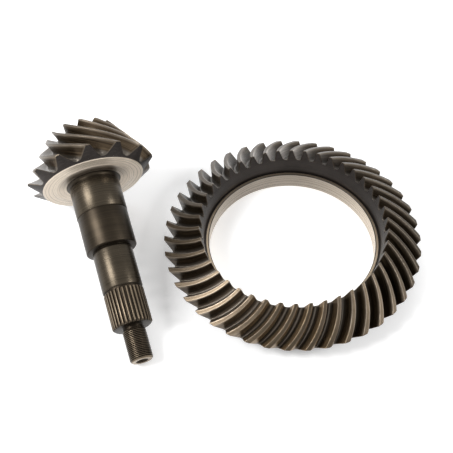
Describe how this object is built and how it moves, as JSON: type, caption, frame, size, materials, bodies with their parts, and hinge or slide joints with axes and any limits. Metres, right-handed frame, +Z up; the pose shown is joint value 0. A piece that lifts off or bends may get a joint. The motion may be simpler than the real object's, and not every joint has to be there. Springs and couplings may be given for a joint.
{
  "type": "ring and pinion gear set",
  "caption": "Hypoid crown wheel lying flat on its back with its curved teeth up, and its loose pinion beside it, a toothed cone on a stepped shaft with splines and a threaded end",
  "frame": {"origin": "centre of the ring gear's bore in the plane of its back face, which is also the plane the set lies on", "axes": "+Z up along the ring gear's axis, out of its teeth; -Y towards the viewer, +X to the viewer's right; the pinion lies on the -X side with its thread end towards the viewer"},
  "size_m": [0.3492, 0.2367, 0.1096],
  "materials": {
    "ring_steel": "case-hardened forging, dark brown treated tooth faces with bright edges, ground pale bore and ledge",
    "pinion_steel": "case-hardened forging, dark brown treated teeth and shaft, ground journals and a pale ground back face"
  },
  "bodies": {
    "root": {"ring_gear": "ring_steel", "pinion": "pinion_steel"}
  },
  "joints": []
}
